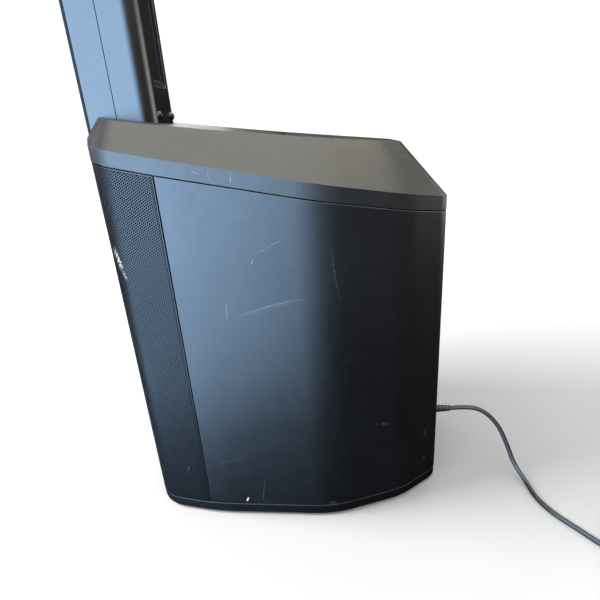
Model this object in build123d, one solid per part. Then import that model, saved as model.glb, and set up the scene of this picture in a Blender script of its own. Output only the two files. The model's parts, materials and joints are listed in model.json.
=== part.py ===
"""Column PA system: a faceted bass cabinet with a lift-off two-piece column and a mains lead.

Millimetres.  -Y is the front, +Z is up, and +X is on the right for someone facing the front.
The origin is on the floor, at the middle of the cabinet's width and depth.
"""
from build123d import *
import os
from math import cos, hypot, pi, radians, sin, tan

# ---------------------------------------------------------------- driving dimensions
HALF_DEPTH = 231.6          # cabinet depth is twice this
SIDE = 170.0                # half of the cabinet's width
WALL = 9.0                  # cabinet wall
SEAM = 0.7                  # half of the groove between the cabinet and the cap
FOOT_GAP = 2.0              # height of the feet below the base
BASE_TOP = 19.0             # top of the base moulding
FEET = [(112, -128), (-112, -128), (98, 160), (-98, 160)]
FOOT_R, FOOT_HEIGHT = 20.0, 6.0
WIDE, HIGH = 200.0, 620.0   # half-width and height that clear the whole cabinet, for cutting blocks

# The body's outline seen from above: right half, front to rear, as (x, y, corner radius).
BODY = [
    (47.5, -HALF_DEPTH, 60), (157.6, -170.3, 50), (SIDE, -90.6, 400),
    (SIDE, 79.4, 160), (133.6, 177.0, 120), (89.1, HALF_DEPTH, 28),
]
# The outline of the cap's top surface, in the same order.
TOP = [
    (44.3, -211.6, 50), (128.0, -163.8, 28), (130.0, -104.6, 400),
    (130.0, 72.2, 130), (103.7, 142.3, 70), (76.8, 175.4, 16),
]

# Sloping planes, each as z = height - slope * y.
SEAM_HEIGHT, SEAM_SLOPE = 457.1, 0.2095
BAND = 17.9                 # height of the cap's vertical band
TOP_HEIGHT, TOP_SLOPE = 517.7, 0.143
TOP_SAG = 2.3               # hollow of the cap's top surface
CAP_WALL = 4.0

# Carrying recess in the cap, and the grip across it.
HANDLE_X, HANDLE_FRONT, HANDLE_REAR, HANDLE_FLOOR = 62.0, 18.0, 94.0, 466.0
GRIP_Y, GRIP_LOW, GRIP_HIGH, GRIP_DEPTH = 56.0, 490.0, 505.0, 24.0

GRILLE_EDGE = -97.0         # where the grille meets the side wall
GRILLE_SHEET = 1.6
BAFFLE_FRONT, BAFFLE_REAR = -90.0, -72.0

WOOFER_Z = 285.0
PORT_X, PORT_Z, PORT_R, PORT_END = 88.0, 76.0, 31.0, 60.0

# Rear panel and the recess that it sits in.
PANEL_REAR, PANEL_THICK = 209.3, 3.0
RECESS_X, RECESS_LOW, RECESS_HIGH = 66.0, 42.0, 386.0
KNOB_X = [-45.0, -15.0, 15.0, 45.0]
KNOB_Z, COMBO_Z, JACK_Z = 296.0, 254.0, 214.0
ENCODER_X, ENCODER_Z = 40.0, 346.0
BUTTON_X, BUTTON_Z = [-44.0, -14.0], 319.0
WINDOW_X, WINDOW_HALF = (-58.0, -2.0), 17.0     # display window
JACK_X, JACK_R, LINK_X = [-45.0, -20.0], 3.2, 15.0
SINK_LOW, SINK_HIGH, SINK_X = 118.0, 188.0, 54.0
INLET_X, INLET_Z = 35.0, 86.0
ROCKER_X, ROCKER_Z, ROCKER_TILT = -26.0, 86.0, 8.0
SCREW_X, SCREW_LEVELS = 61.5, [48.0, 186.0, 198.0, 270.0, 282.0, 380.0]
PLATE_JOINTS, PLATE_GAP = [192.0, 276.0], 0.2   # joints between the power, socket and control plates
SHAFT_R, PANEL_FIT = 3.0, 0.05      # knob shafts and their running clearance
BARREL_R, BORE_R, CUT_OUT = 12.1, 11.2, 12.3    # round sockets, and half of the square holes behind their flanges

# Column.
COLUMN_X = 44.0
COLUMN_FRONT, COLUMN_REAR = -HALF_DEPTH, -137.8
COLUMN = [(COLUMN_X, COLUMN_FRONT, 3), (COLUMN_X, COLUMN_REAR, 20)]
COLUMN_Y = (COLUMN_FRONT + COLUMN_REAR) / 2
COLUMN_WALL = 3.0
COLUMN_SEAM = -186.9        # joint between the front and rear shells
STRIP_REAR = -226.3         # back of the dark strip along the front
COLUMN_BASE = 523.6
SPACER_LENGTH, ARRAY_LENGTH = 700.0, 800.0
SPACER_TOP = COLUMN_BASE + SPACER_LENGTH
ARRAY_TOP = SPACER_TOP + ARRAY_LENGTH
SPIGOT_X, SPIGOT_Y, SPIGOT_LENGTH = 25.0, 17.0, 45.0
SPIGOT_FIT = 0.4            # clearance round a spigot in its socket
CONTACT_X = [-12.0, -4.0, 4.0, 12.0]
CHANNEL_X, CHANNEL_DEPTH, CHANNEL_BEVEL = 20.0, 6.0, 9.0
CHANNEL_LOW, CHANNEL_HIGH = 580.0, 1165.0
DOME_X, DOME_R, DOME_LEVELS = 21.0, 5.8, [544.5, SPACER_TOP - 20]
DRIVERS, DRIVER_PITCH, DRIVER_R = 12, 62.0, 29.0

# Mains lead: the route of its centre line from the strain relief to the coil.
LEAD = 6.6
LEAD_ROUTE = [
    (37, 262, 89), (40, 287, 94), (45, 310, 90), (54, 330, 71), (66, 342, 43), (78, 350, 17),
    (101, 362, 3.3), (129, 363, 3.3), (157, 376, 3.3), (180, 398, 3.3), (209, 420, 3.3), (233, 449, 3.3),
]
COIL_X, COIL_Y, COIL_R = 205.0, 478.0, 40.0
TIE_ANGLE, TAIL_ANGLE = 160.0, 75.0

parts = {}


# ---------------------------------------------------------------- helpers
def box(x0, x1, y0, y1, z0, z1):
    """Block between two corners."""
    middle = Pos((x0 + x1) / 2, (y0 + y1) / 2, (z0 + z1) / 2)
    return middle * Box(abs(x1 - x0), abs(y1 - y0), abs(z1 - z0))


def rod_y(x, z, y0, y1, radius):
    """Cylinder along Y."""
    return Pos(x, (y0 + y1) / 2, z) * Rot(90, 0, 0) * Cylinder(radius, y1 - y0)


def rounded_y(x, y, z, width, height, radius):
    """Rounded rectangle that faces +Y."""
    return Plane(origin=(x, y, z), x_dir=(1, 0, 0), z_dir=(0, 1, 0)) * RectangleRounded(width, height, radius)


def rod_z(x, y, z0, z1, radius):
    """Cylinder along Z."""
    return Pos(x, y, (z0 + z1) / 2) * Cylinder(radius, z1 - z0)


def turned(profile, x=0.0, z=0.0):
    """Solid of revolution about a line along Y, from (radius, y) points."""
    face = make_face(Polyline(*profile, close=True))
    return Pos(x, 0, z) * revolve(face, Axis.Y, 360)


def mirrored_ring(corners):
    """All corners of a symmetric outline, anticlockwise from above."""
    return corners + [(-x, y, r) for x, y, r in reversed(corners)]


def inset(corners, gap):
    """The same outline, moved inwards by gap."""
    ring = mirrored_ring(corners)
    moved = []
    for i, (x, y, r) in enumerate(corners):
        normals = []
        for (xa, ya, _), (xb, yb, _) in ((ring[i - 1], ring[i]), (ring[i], ring[i + 1])):
            length = hypot(xb - xa, yb - ya)
            normals.append((-(yb - ya) / length, (xb - xa) / length))
        (ax, ay), (bx, by) = normals
        share = gap / (1 + ax * bx + ay * by)
        moved.append((x + share * (ax + bx), y + share * (ay + by), max(r - gap, 1.0)))
    return moved


def outline(corners):
    """Face of a symmetric rounded outline."""
    ring = mirrored_ring(corners)
    line = FilletPolyline(*[(x, y) for x, y, _ in ring], radius=[r for _, _, r in ring], close=True)
    return make_face(line)


def prism(corners, low, high):
    """Upright prism of an outline."""
    return Pos(0, 0, low) * extrude(outline(corners), high - low)


def slope(height, fall):
    """Plane z = height - fall * y, facing up."""
    return Plane(origin=(0, 0, height), z_dir=(0, fall, 1))


def below(shape, height, fall):
    return split(shape, bisect_by=slope(height, fall), keep=Keep.BOTTOM)


def above(shape, height, fall):
    return split(shape, bisect_by=slope(height, fall), keep=Keep.TOP)


def group(pieces):
    """Separate solids in one node."""
    return Compound([solid for piece in pieces for solid in piece.solids()])


# ---------------------------------------------------------------- cabinet
def base_plinth():
    plate = prism(inset(BODY, 0.8), FOOT_GAP + 3, BASE_TOP)
    plate += prism(inset(BODY, 3.0), FOOT_GAP, FOOT_GAP + 3)
    lip = prism(inset(BODY, WALL + 0.3), BASE_TOP, BASE_TOP + 8)
    lip -= prism(inset(BODY, WALL + 4.3), BASE_TOP, BASE_TOP + 8)
    lip -= box(-WIDE, WIDE, -260, BAFFLE_REAR + 1, 0, 60)
    plate += lip
    for x, y in FEET:
        plate -= rod_z(x, y, FOOT_GAP - 1, FOOT_HEIGHT, FOOT_R + 0.2)
    return plate


def rubber_feet():
    return group([rod_z(x, y, 0, FOOT_HEIGHT, FOOT_R) for x, y in FEET])


def cabinet_shell():
    """Wrap-round side and rear wall, with the collar that holds the rear panel."""
    low, high = BASE_TOP + 0.8, HIGH
    wall = prism(BODY, low, high) - prism(inset(BODY, WALL), low, high)
    wall -= box(-WIDE, WIDE, -260, GRILLE_EDGE, low, high)
    collar = box(-RECESS_X - 4, RECESS_X + 4, 200, 230, RECESS_LOW - 4, RECESS_HIGH + 4)
    wall += collar
    wall -= box(-RECESS_X, RECESS_X, PANEL_REAR - PANEL_THICK, 240, RECESS_LOW, RECESS_HIGH)
    wall -= box(-RECESS_X + 6, RECESS_X - 6, 190, 240, RECESS_LOW + 6, RECESS_HIGH - 6)
    return below(wall, SEAM_HEIGHT - SEAM, SEAM_SLOPE)


def roof_board():
    """Board that closes the cabinet under the cap, with a way through for the column socket."""
    board = prism(inset(BODY, WALL + 0.3), 380, 520)
    board = below(board, SEAM_HEIGHT + SEAM - 0.1, SEAM_SLOPE)
    board = above(board, SEAM_HEIGHT - 12, SEAM_SLOPE)
    hole = box(-36, 36, COLUMN_Y - 29, COLUMN_Y + 29, 440, 530)
    return board - hole


def front_baffle():
    board = box(-158.8, 158.8, BAFFLE_FRONT, BAFFLE_REAR, BASE_TOP + 0.2, 520)
    board = below(board, SEAM_HEIGHT - 12.2, SEAM_SLOPE)
    board -= rod_y(0, WOOFER_Z, BAFFLE_FRONT - 1, BAFFLE_REAR + 1, 138)
    for x in (-PORT_X, PORT_X):
        board -= rod_y(x, PORT_Z, BAFFLE_FRONT - 1, BAFFLE_REAR + 1, PORT_R + 3.2)
    return board


def port_tubes():
    """Reflex ports with flared mouths."""
    r, y0, y1 = PORT_R, BAFFLE_FRONT, PORT_END
    flange = [(r + 3, y0), (r + 10, y0), (r + 10, y0 - 3)]
    profile = flange + [(r + 4, y0 - 3), (r + 1.2, y0 - 0.5), (r, y0 + 5), (r, y1), (r + 3, y1)]
    return group([turned(profile, x, PORT_Z) for x in (-PORT_X, PORT_X)])


def cabinet_brace():
    """Window brace that ties the side walls together behind the woofer."""
    brace = box(-148.5, 148.5, 92, 107, BASE_TOP + 8.2, 520)
    brace = below(brace, SEAM_HEIGHT - 12.2, SEAM_SLOPE)
    return brace - box(-105, 105, 90, 110, 70, 370)


def damping_pads():
    """Felt pads on the side walls and under the roof."""
    pads = [box(s * 160.5, s * 148, -60, 60, 40, 400) for s in (-1, 1)]
    roof = box(-100, 100, -60, 80, 380, 520)
    roof = above(below(roof, SEAM_HEIGHT - 12.4, SEAM_SLOPE), SEAM_HEIGHT - 30, SEAM_SLOPE)
    return group(pads + [roof])


def front_grille():
    """Perforated sheet wrapped round the front, drawn without its holes."""
    low = BASE_TOP + 1
    sheet = prism(inset(BODY, 0.4), low, HIGH) - prism(inset(BODY, 0.4 + GRILLE_SHEET), low, HIGH)
    sheet -= box(-WIDE, WIDE, GRILLE_EDGE - 1.8, 260, low, HIGH)
    return below(sheet, SEAM_HEIGHT - SEAM - 0.4, SEAM_SLOPE)


def grille_cloth():
    """Acoustic foam behind the grille."""
    low, gap = BASE_TOP + 1, 0.6 + GRILLE_SHEET
    sheet = prism(inset(BODY, gap), low, HIGH) - prism(inset(BODY, gap + 2.5), low, HIGH)
    sheet -= box(-WIDE, WIDE, GRILLE_EDGE - 1.8, 260, low, HIGH)
    return below(sheet, SEAM_HEIGHT - SEAM - 0.4, SEAM_SLOPE)


# ---------------------------------------------------------------- cap
def cap_block(gap, drop):
    """Faceted cap as a full block, moved inwards by gap and down by drop."""
    body, top = inset(BODY, gap), inset(TOP, gap)
    band_height = SEAM_HEIGHT + BAND - drop
    band = above(below(prism(body, 380, HIGH), band_height, SEAM_SLOPE), SEAM_HEIGHT + SEAM, SEAM_SLOPE)
    lower = section(prism(body, 380, HIGH), section_by=slope(band_height, SEAM_SLOPE))
    upper = section(prism(top, 380, HIGH), section_by=slope(TOP_HEIGHT - drop, TOP_SLOPE))
    return band + loft([lower, upper], ruled=True)


def top_hollow(drop):
    """Everything above the cap's gently hollowed top surface."""
    ends = [(y, TOP_HEIGHT - drop - TOP_SLOPE * y) for y in (-240, 190)]
    middle = (-25, TOP_HEIGHT - drop + TOP_SLOPE * 25 - TOP_SAG * 1.5)
    curve = ThreePointArc((0, *ends[0]), (0, *middle), (0, *ends[1]))
    rest = Polyline((0, *ends[1]), (0, 190, 640), (0, -240, 640), (0, *ends[0]))
    return Pos(-200, 0, 0) * extrude(make_face([curve, rest]), 400, dir=(1, 0, 0))


def top_cap():
    """Faceted cap moulding with the column's pocket and the carrying recess."""
    outside = cap_block(0, 0) - top_hollow(0)
    cap = outside - (cap_block(CAP_WALL, 3.5) - top_hollow(CAP_WALL - 1.0))
    cap -= below(prism(inset(BODY, CAP_WALL), 380, HIGH), SEAM_HEIGHT + 6, SEAM_SLOPE)
    x, front, rear = COLUMN_X + 0.6, -250, COLUMN_REAR + 0.6
    pocket_walls = box(-x - 3, x + 3, front, rear + 3, COLUMN_BASE - 4, 600)
    x_grip = HANDLE_X + 3
    grip_walls = box(-x_grip, x_grip, HANDLE_FRONT - 3, HANDLE_REAR + 3, HANDLE_FLOOR - 3, 600)
    cap += outside & (pocket_walls + grip_walls)
    cap -= box(-x, x, front, rear, COLUMN_BASE, 600)
    cap -= box(-HANDLE_X, HANDLE_X, HANDLE_FRONT, HANDLE_REAR, HANDLE_FLOOR, 600)
    cap -= box(-SPIGOT_X - 1, SPIGOT_X + 1, COLUMN_Y - SPIGOT_Y - 1, COLUMN_Y + SPIGOT_Y + 1, 500, 530)
    return cap


def handle_bar():
    """Grip across the carrying recess."""
    middle = (-HANDLE_X, GRIP_Y, (GRIP_LOW + GRIP_HIGH) / 2)
    across = Plane(origin=middle, x_dir=(0, 1, 0), z_dir=(1, 0, 0))
    return extrude(across * RectangleRounded(GRIP_DEPTH, GRIP_HIGH - GRIP_LOW, 6.5), 2 * HANDLE_X)


def spigot_room(low, high):
    """Space for a column spigot with its sliding clearance."""
    x, y = SPIGOT_X + SPIGOT_FIT, SPIGOT_Y + SPIGOT_FIT
    return box(-x, x, COLUMN_Y - y, COLUMN_Y + y, low, high)


def column_socket():
    """Socket under the cap's pocket that takes the column's spigot."""
    top, low = COLUMN_BASE - 4.2, COLUMN_BASE - SPIGOT_LENGTH - 5
    y = COLUMN_Y
    housing = box(-SPIGOT_X - 4.5, SPIGOT_X + 4.5, y - SPIGOT_Y - 4.5, y + SPIGOT_Y + 4.5, low, top)
    housing += box(-34, 34, y - 26, y + 26, top - 4, top)
    return housing - spigot_room(low + 4, top + 1)


def socket_contacts():
    """Sprung contact blades standing on the socket's floor."""
    floor = COLUMN_BASE - SPIGOT_LENGTH - 1
    return group([box(x - 1, x + 1, COLUMN_Y - 5, COLUMN_Y + 5, floor - 12, floor - 4.2) for x in CONTACT_X])


# ---------------------------------------------------------------- woofer
def woofer_basket():
    front = BAFFLE_FRONT
    flange = turned([(136, front), (152.5, front), (152.5, front - 4), (136, front - 4)], z=WOOFER_Z)
    outside = [(133, front - 4), (137.4, front - 4), (137.4, -68), (80, 8), (80, 11)]
    bowl = turned(outside + [(40, 11), (40, 8), (76, 8), (133, -68)], z=WOOFER_Z)
    for i in range(6):
        window = Pos(0, -30, WOOFER_Z) * Rot(0, 60 * i + 30, 0) * Pos(112, 0, 0) * Box(70, 42, 62)
        bowl -= window
    ledge = turned([(70, -19), (101, -19), (99, -16), (70, -16)], z=WOOFER_Z)
    return flange + bowl + ledge


def woofer_surround():
    """Half-roll rubber surround."""
    edge = BAFFLE_FRONT - 4.2
    outer = ThreePointArc((135.8, edge), (125.9, edge - 9.9), (116, edge))
    inner = ThreePointArc((117.4, edge), (125.9, edge - 8.5), (134.4, edge))
    joins = [Line((116, edge), (117.4, edge)), Line((134.4, edge), (135.8, edge))]
    return Pos(0, 0, WOOFER_Z) * revolve(make_face([outer, inner] + joins), Axis.Y, 360)


def woofer_cone():
    profile = [(115.7, -94.4), (115.7, -92.6), (27.0, -43.2), (26.2, -43.2), (26.2, -45.0)]
    return turned(profile, z=WOOFER_Z)


def woofer_dust_cap():
    dome, centre = 67.0, -3.5
    shell = Pos(0, centre, WOOFER_Z) * (Sphere(dome) - Sphere(dome - 1.2))
    return shell & box(-60, 60, centre - dome - 1, -55.8, WOOFER_Z - 60, WOOFER_Z + 60)


def woofer_voice_coil():
    former = [(25.4, -45), (26.0, -45), (26.0, -2), (26.8, -2), (26.8, 14), (25.4, 14)]
    return turned(former, z=WOOFER_Z)


def woofer_spider():
    """Corrugated centring disc."""
    ridges = 8
    step = (70.6 - 26.4) / (2 * ridges)
    crest = [(26.4 + i * step, -20.6 - (i % 2) * 2) for i in range(2 * ridges + 1)]
    floor = [(r, y + 0.9) for r, y in reversed(crest)]
    return turned(crest + floor, z=WOOFER_Z)


def woofer_magnet():
    return turned([(45, 19.1), (88, 19.1), (88, 39), (45, 39)], z=WOOFER_Z)


def woofer_pole():
    """Front plate and back plate with the pole piece."""
    plate = turned([(27.4, 11.1), (78, 11.1), (78, 19), (27.4, 19)], z=WOOFER_Z)
    pole = turned([(8, 11.1), (24.8, 11.1), (24.8, 39.1), (80, 39.1), (80, 47), (8, 47)], z=WOOFER_Z)
    return group([plate, pole])


def woofer_bolts():
    bolts = []
    for i in range(8):
        angle = radians(22.5 + 45 * i)
        x, z = 145 * cos(angle), WOOFER_Z + 145 * sin(angle)
        head = rod_y(x, z, BAFFLE_FRONT - 7.4, BAFFLE_FRONT - 4.1, 4.5)
        bolts.append(head - rod_y(x, z, BAFFLE_FRONT - 8, BAFFLE_FRONT - 5.6, 2.2))
    return group(bolts)


# ---------------------------------------------------------------- rear panel
def rear_panel():
    """Three plates, one above the other: power, sockets and controls."""
    x, front = RECESS_X - 0.3, PANEL_REAR - PANEL_THICK + 0.05
    lows = [RECESS_LOW + 0.3] + [z + PLATE_GAP for z in PLATE_JOINTS]
    highs = [z - PLATE_GAP for z in PLATE_JOINTS] + [RECESS_HIGH - 0.3]
    cuts = [rod_y(kx, KNOB_Z, 200, 215, SHAFT_R + PANEL_FIT) for kx in KNOB_X]
    cuts.append(rod_y(ENCODER_X, ENCODER_Z, 200, 215, SHAFT_R + PANEL_FIT))
    cuts += [box(bx - 6.3, bx + 6.3, 200, 215, BUTTON_Z - 4.3, BUTTON_Z + 4.3) for bx in BUTTON_X]
    for cx, cz in [(kx, COMBO_Z) for kx in KNOB_X] + [(LINK_X, JACK_Z)]:
        cuts.append(box(cx - CUT_OUT, cx + CUT_OUT, 200, 215, cz - CUT_OUT, cz + CUT_OUT))
    cuts += [rod_y(jx, JACK_Z, 200, 215, 5.2) for jx in JACK_X]
    cuts.append(box(-SINK_X - 0.5, SINK_X + 0.5, 200, 215, SINK_LOW - 0.5, SINK_HIGH + 0.5))
    cuts.append(box(INLET_X - 14.2, INLET_X + 14.2, 200, 215, INLET_Z - 10.6, INLET_Z + 10.6))
    cuts.append(box(ROCKER_X - 11.3, ROCKER_X + 11.3, 200, 215, ROCKER_Z - 10.3, ROCKER_Z + 10.3))
    x0, x1, half = WINDOW_X[0] - 0.3, WINDOW_X[1] + 0.3, WINDOW_HALF + 0.3
    cuts.append(box(x0, x1, PANEL_REAR - 1.2, 215, ENCODER_Z - half, ENCODER_Z + half))
    return group([box(-x, x, front, PANEL_REAR, low, high) - cuts for low, high in zip(lows, highs)])


def display_window():
    z0, z1 = ENCODER_Z - WINDOW_HALF, ENCODER_Z + WINDOW_HALF
    return box(*WINDOW_X, PANEL_REAR - 1.15, PANEL_REAR + 0.2, z0, z1)


def knob(x, z, radius, length):
    """Ribbed knob with a pointer groove, on its shaft."""
    y0 = PANEL_REAR + 0.5
    y1 = y0 + length
    body = turned([(0, y0), (radius, y0), (radius - 0.9, y1 - 1), (radius - 1.9, y1), (0, y1)], x, z)
    for i in range(12):
        body -= Pos(x, 0, z) * Rot(0, 30 * i + 15, 0) * rod_y(radius + 0.7, 0, y0 - 1, y1 + 1, 1.3)
    body -= box(x - 0.6, x + 0.6, y1 - 0.8, y1 + 1, z + radius * 0.3, z + radius + 1)
    return body + rod_y(x, z, 196, y0 + 2, SHAFT_R)


def panel_button(x):
    return extrude(rounded_y(x, 200, BUTTON_Z, 12, 8, 1.5), PANEL_REAR + 2.6 - 200)


def xlr_shell(x, z):
    """Flanged round socket with a blind bore."""
    y = PANEL_REAR
    flange = extrude(rounded_y(x, y + 0.05, z, 26, 31, 2), 2)
    barrel = rod_y(x, z, y - 24, y + 0.1, BARREL_R)
    return flange + barrel - rod_y(x, z, y - 18, y + 3, BORE_R)


def combo_inputs():
    """Combination sockets: a blind bore with a central jack hole in its floor."""
    jack = [rod_y(x, COMBO_Z, PANEL_REAR - 22, PANEL_REAR, 3.3) for x in KNOB_X]
    return group([xlr_shell(x, COMBO_Z) - hole for x, hole in zip(KNOB_X, jack)])


def link_output():
    """Link socket with three pins."""
    body = xlr_shell(LINK_X, JACK_Z)
    for angle in (30, 150, 270):
        px, pz = LINK_X + 5 * cos(radians(angle)), JACK_Z + 5 * sin(radians(angle))
        body += rod_y(px, pz, PANEL_REAR - 19, PANEL_REAR - 5, 1.2)
    return body


def line_jacks():
    jacks = []
    for x in JACK_X:
        y = PANEL_REAR
        facing = Plane(origin=(x, y + 0.05, JACK_Z), x_dir=(1, 0, 0), z_dir=(0, 1, 0))
        nut = extrude(facing * RegularPolygon(7.2, 6), 2.2)
        barrel = rod_y(x, JACK_Z, y - 18, y + 3.5, 5)
        jacks.append(nut + barrel - rod_y(x, JACK_Z, y - 15, y + 5, JACK_R))
    return group(jacks)


def heat_sink():
    """Finned cooler that stands through the panel."""
    base = box(-SINK_X, SINK_X, PANEL_REAR - 12, PANEL_REAR - 4, SINK_LOW, SINK_HIGH)
    fins = 14
    pitch = (2 * SINK_X - 2.2) / (fins - 1)
    for i in range(fins):
        x = -SINK_X + i * pitch
        base += box(x, x + 2.2, PANEL_REAR - 4.5, PANEL_REAR + 16, SINK_LOW, SINK_HIGH)
    return base


def ac_inlet():
    """Three-pole inlet with its flange, cavity and blades."""
    x, z, y = INLET_X, INLET_Z, PANEL_REAR
    flange = extrude(rounded_y(x, y + 0.05, z, 50, 27, 5), 2)
    body = box(x - 14, x + 14, y - 20, y + 0.1, z - 10.4, z + 10.4)
    inlet = flange + body - box(x - 12.3, x + 12.3, y - 17, y + 3, z - 8.3, z + 8.3)
    for px, pz in ((0, 3), (-7, -2.5), (7, -2.5)):
        inlet += box(x + px - 1, x + px + 1, y - 18, y - 3, z + pz - 2, z + pz + 2)
    return inlet


def rocker_frame():
    x, z, y = ROCKER_X, ROCKER_Z, PANEL_REAR
    flange = extrude(rounded_y(x, y + 0.05, z, 27, 24, 2), 1.8)
    body = box(x - 11, x + 11, y - 18, y + 0.1, z - 10, z + 10)
    return flange + body - box(x - 9.3, x + 9.3, y - 15, y + 3, z - 8, z + 8)


def power_rocker():
    """Rocker lever, a drum about its pivot with two shallow faces."""
    x, z, y = ROCKER_X, ROCKER_Z, PANEL_REAR - 1.0
    drum = Pos(x, y, z) * Rot(0, 90, 0) * Cylinder(7.7, 18)
    drum -= box(x - 10, x + 10, y - 9, y - 3, z - 9, z + 9)
    for side in (-1, 1):
        face = Pos(x, y, z) * Rot(-side * 12, 0, 0) * Pos(0, 8.6, side * 5) * Box(20, 6, 14)
        drum -= face
    return drum.rotate(Axis((x, y, z), (1, 0, 0)), ROCKER_TILT)


def panel_screws():
    heads = []
    for x in (-SCREW_X, SCREW_X):
        for z in SCREW_LEVELS:
            head = rod_y(x, z, PANEL_REAR + 0.05, PANEL_REAR + 2.2, 2.9)
            heads.append(head - box(x - 2, x + 2, PANEL_REAR + 1.2, PANEL_REAR + 3, z - 0.4, z + 0.4))
    return group(heads)


def circuit_board(z0, z1, y, x=62.0):
    return box(-x, x, y, y + 1.6, z0, z1)


def mixer_board():
    """Board behind the controls with the knobs' potentiometers."""
    pieces = [circuit_board(200, 376, 180)]
    for kx, kz in [(k, KNOB_Z) for k in KNOB_X] + [(ENCODER_X, ENCODER_Z)]:
        pieces.append(box(kx - 6, kx + 6, 181.7, 194, kz - 6, kz + 6))
    return group(pieces)


def amplifier_board():
    """Amplifier board fixed to the cooler, with coils and capacitors."""
    pieces = [circuit_board(112, 194, 170, 70)]
    pieces += [rod_y(x, 170, 171.7, 190, 8) for x in (-50, -28)]
    pieces += [box(x - 12, x + 12, 171.7, 196, 124, 146) for x in (-45, 0, 45)]
    return group(pieces)


def power_supply():
    """Mains board with its transformer and reservoir capacitors."""
    pieces = [box(-70, 70, 112, 190, 32, 33.6)]
    pieces.append(box(-60, -20, 120, 165, 33.7, 75))
    pieces += [rod_z(x, 135, 33.7, 74, 11) for x in (5, 32, 58)]
    return group(pieces)


# ---------------------------------------------------------------- column
def column_tube(z0, z1, gap=0.0):
    return prism(inset(COLUMN, gap) if gap else COLUMN, z0, z1)


def channel_block(x, y_front, z0, z1):
    """Upright channel with bevelled ends, open towards the rear."""
    run = CHANNEL_BEVEL / CHANNEL_DEPTH
    out = (COLUMN_REAR + 4 - y_front) * run
    side = Polyline((-x, y_front, z0), (-x, y_front, z1), (-x, COLUMN_REAR + 4, z1 + out),
                    (-x, COLUMN_REAR + 4, z0 - out), close=True)
    return extrude(make_face(side), 2 * x, dir=(1, 0, 0))


def rear_shell(z0, z1, slot_low, slot_high):
    """Rear half of a column section with its upright grip channel."""
    shell = column_tube(z0, z1) - column_tube(z0, z1, COLUMN_WALL)
    floor = COLUMN_REAR - CHANNEL_DEPTH
    low, high = slot_low + CHANNEL_BEVEL, slot_high - CHANNEL_BEVEL
    shell += channel_block(CHANNEL_X + 2.5, floor - 2.5, low - 2, high + 2) & column_tube(z0, z1)
    shell -= channel_block(CHANNEL_X, floor, low, high)
    return shell - box(-60, 60, -260, COLUMN_SEAM + 0.3, z0, z1)


def spacer_rear_shell():
    return rear_shell(COLUMN_BASE + 0.1, SPACER_TOP, CHANNEL_LOW, CHANNEL_HIGH)


def spacer_front_shell():
    z0, z1 = COLUMN_BASE + 0.1, SPACER_TOP
    shell = column_tube(z0, z1) - column_tube(z0, z1, COLUMN_WALL)
    shell += box(-COLUMN_X + 1, COLUMN_X - 1, STRIP_REAR, STRIP_REAR + 3, z0, z1)
    shell -= box(-60, 60, COLUMN_SEAM - 0.3, -100, z0, z1)
    return shell - box(-60, 60, -260, STRIP_REAR, z0, z1)


def spacer_strip():
    """Dark strip along the front."""
    strip = column_tube(COLUMN_BASE + 0.1, SPACER_TOP)
    return strip - box(-60, 60, STRIP_REAR - 0.2, -100, 400, 2200)


def plug_block(bottom):
    """Block in a column section's foot, with the spigot that plugs in below."""
    half_x, y0, y1 = COLUMN_X - COLUMN_WALL - 0.2, STRIP_REAR + 3.4, COLUMN_REAR - COLUMN_WALL - 7
    block = box(-half_x + 4, half_x - 4, y0, y1, bottom + 0.2, bottom + 26)
    tip = bottom - SPIGOT_LENGTH
    spigot = box(-SPIGOT_X, SPIGOT_X, COLUMN_Y - SPIGOT_Y, COLUMN_Y + SPIGOT_Y, tip, bottom + 1)
    for x in CONTACT_X:
        spigot -= box(x - 1.6, x + 1.6, COLUMN_Y - 6, COLUMN_Y + 6, tip - 1, tip + 14)
    return block + spigot


def spacer_foot():
    return plug_block(COLUMN_BASE)


def spacer_head():
    """Socket in the spacer's upper end that takes the array's spigot."""
    half_x, y0, y1 = COLUMN_X - COLUMN_WALL - 4.2, STRIP_REAR + 3.4, COLUMN_REAR - COLUMN_WALL - 7
    low = SPACER_TOP - SPIGOT_LENGTH - 5
    block = box(-half_x, half_x, y0, y1, low, SPACER_TOP - 0.2)
    return block - spigot_room(low + 4, SPACER_TOP + 1)


def dome_screws(levels):
    """Round-head screws on a column section's rear face."""
    heads = []
    for z in levels:
        for x in (-DOME_X, DOME_X):
            ball = Pos(x, COLUMN_REAR - 0.6, z) * Sphere(DOME_R)
            heads.append(ball & box(x - 8, x + 8, COLUMN_REAR + 0.05, COLUMN_REAR + 8, z - 8, z + 8))
    return group(heads)


def array_rear_shell():
    return rear_shell(SPACER_TOP + 0.2, ARRAY_TOP - 6, SPACER_TOP + 70, ARRAY_TOP - 70)


def array_grille():
    """Perforated front of the array, drawn without its holes."""
    z0, z1 = SPACER_TOP + 0.2, ARRAY_TOP - 6
    sheet = column_tube(z0, z1) - column_tube(z0, z1, 1.5)
    return sheet - box(-60, 60, COLUMN_SEAM - 0.3, -100, z0, z1)


def driver_levels():
    first = SPACER_TOP + ARRAY_LENGTH / 2 - DRIVER_PITCH * (DRIVERS - 1) / 2
    return [first + DRIVER_PITCH * i for i in range(DRIVERS)]


def array_baffle():
    board = box(-40, 40, -212, -204, SPACER_TOP + 27, ARRAY_TOP - 7)
    for z in driver_levels():
        board -= rod_y(0, z, -215, -200, DRIVER_R - 3)
    return board


def array_drivers():
    """Small full-range drivers: frame, magnet and cone basin in one solid each."""
    front = [(0, -196), (9, -196), (12, -204), (22, -210), (25, -215.5), (DRIVER_R, -215.5), (DRIVER_R, -212.1)]
    profile = front + [(25.5, -212.1), (25.5, -204), (18, -186), (18, -174), (0, -174)]
    return group([turned(profile, z=z) for z in driver_levels()])


def array_foot():
    return plug_block(SPACER_TOP)


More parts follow.
